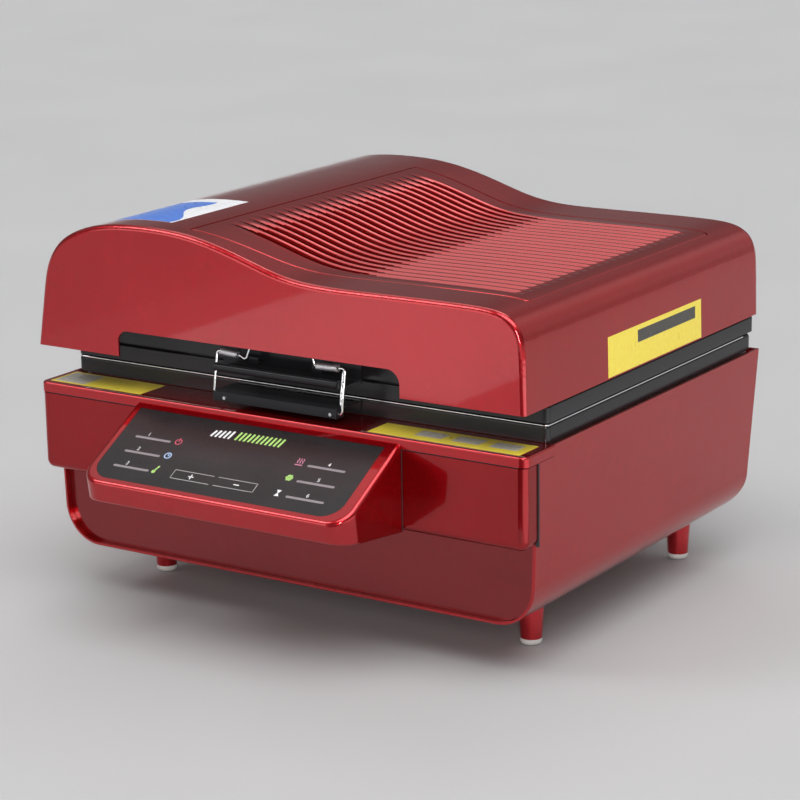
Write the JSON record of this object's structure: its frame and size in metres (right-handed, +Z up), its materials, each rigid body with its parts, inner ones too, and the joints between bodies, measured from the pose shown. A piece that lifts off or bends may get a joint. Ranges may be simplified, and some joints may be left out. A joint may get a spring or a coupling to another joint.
{
  "type": "vacuum sublimation heat press",
  "caption": "Box-shaped vacuum heat press with a hinged heater lid, a silicone film frame, wire latches and a sloping control console on four feet.",
  "frame": {"origin": "centre of the outer box in plan, on the surface the feet stand on", "axes": "+Z up, -Y towards the user and the control console, +X to the user's right"},
  "size_m": [0.52, 0.5451, 0.36],
  "materials": {
    "candy_red_paint": "metallic gloss lacquer",
    "red_panel_paint": "metallic gloss lacquer, ribbed",
    "black_paint": "satin powder coat",
    "overlay_film": "dark membrane with plain marks",
    "pale_rubber": "matt moulded",
    "seal_silicone": "matt silicone",
    "film_silicone": "thin translucent silicone sheet",
    "zinc_steel": "zinc plated",
    "bright_wire": "bright plated",
    "spring_steel": "drawn wire",
    "plain_aluminium": "satin",
    "bright_aluminium": "polished reflector",
    "quartz_tube": "milky quartz",
    "white_ceramic": "glazed ceramic, stands in as gloss plastic",
    "mineral_fibre": "felted fibre blanket",
    "black_plastic": "fine grained moulding",
    "board_green": "solder mask",
    "motor_steel": "rolled can",
    "grey_cast": "die cast",
    "hose_rubber": "smooth hose",
    "contact_brass": "plated contacts"
  },
  "bodies": {
    "base": {"base_shell": "candy_red_paint", "bottom_cover": "zinc_steel", "lower_front_panel": "candy_red_paint", "front_box": "candy_red_paint", "shelf_cap": "candy_red_paint", "control_console": "candy_red_paint", "control_overlay": "overlay_film", "control_board": "board_green", "display_module": "black_plastic", "feet": "candy_red_paint", "foot_pads": "pale_rubber", "chamber_tub": "plain_aluminium", "work_platform": "plain_aluminium", "chamber_seal": "seal_silicone", "tub_rails": "zinc_steel", "vacuum_port": "contact_brass", "pump_motor": "motor_steel", "pump_head": "grey_cast", "pump_cradle": "zinc_steel", "release_valve": "contact_brass", "vacuum_hose": "hose_rubber", "power_board": "board_green", "fan_frame": "black_plastic", "fan_grille": "bright_wire", "rear_plate": "black_paint", "power_inlet": "black_plastic", "inlet_pins": "contact_brass", "fuse_holder": "black_plastic", "switch_housing": "black_plastic", "rear_screws": "zinc_steel", "base_hinges": "black_paint", "hinge_pins": "zinc_steel"},
    "film_frame": {"film_frame": "black_paint", "silicone_film": "film_silicone", "film_clamp_ring": "black_paint", "frame_screws": "zinc_steel", "film_handle": "black_paint", "film_hinges": "black_paint"},
    "latch_right": {"latch_wire_right": "bright_wire", "latch_spring_right": "spring_steel"},
    "latch_left": {"latch_wire_left": "bright_wire", "latch_spring_left": "spring_steel"},
    "lid": {"heater_rim": "black_paint", "heater_box": "black_paint", "reflector": "bright_aluminium", "heating_tubes": "quartz_tube", "tube_caps": "white_ceramic", "tube_rails": "zinc_steel", "guard_grid": "bright_wire", "temperature_probe": "zinc_steel", "insulation": "mineral_fibre", "lid_brackets": "black_paint", "lid_shell": "candy_red_paint", "vent_panel": "red_panel_paint", "panel_straps": "zinc_steel", "lid_handle": "black_paint", "latch_catches": "black_paint", "lid_hinges": "black_paint"},
    "fan": {"fan_impeller": "black_plastic"},
    "power_rocker": {"switch_rocker": "black_plastic"}
  },
  "joints": [
    {"name": "lid_hinge", "type": "hinge", "parent": "base", "child": "lid", "pos_m": [0, 0.265, 0.22], "axis": [-1, 0, 0], "range_deg": [0, 80]},
    {"name": "film_frame_hinge", "type": "hinge", "parent": "base", "child": "film_frame", "pos_m": [0, 0.265, 0.22], "axis": [-1, 0, 0], "range_deg": [0, 40]},
    {"name": "latch_right_pivot", "type": "hinge", "parent": "film_frame", "child": "latch_right", "pos_m": [0.0685, -0.1715, 0.212], "axis": [1, 0, 0], "range_deg": [0, 95]},
    {"name": "latch_left_pivot", "type": "hinge", "parent": "film_frame", "child": "latch_left", "pos_m": [-0.0685, -0.1715, 0.212], "axis": [1, 0, 0], "range_deg": [0, 95]},
    {"name": "fan_spin", "type": "hinge", "parent": "base", "child": "fan", "pos_m": [-0.118, 0.2327, 0.1235], "axis": [0, 0.9953, -0.0973], "continuous": true},
    {"name": "power_rocker_tilt", "type": "hinge", "parent": "base", "child": "power_rocker", "pos_m": [0.146, 0.24623, 0.12419], "axis": [-1, 0, 0], "range_deg": [0, 16]}
  ],
  "couplings": [
    {"joint": "film_frame_hinge", "follows": "lid_hinge", "ratio": 0.5}
  ]
}
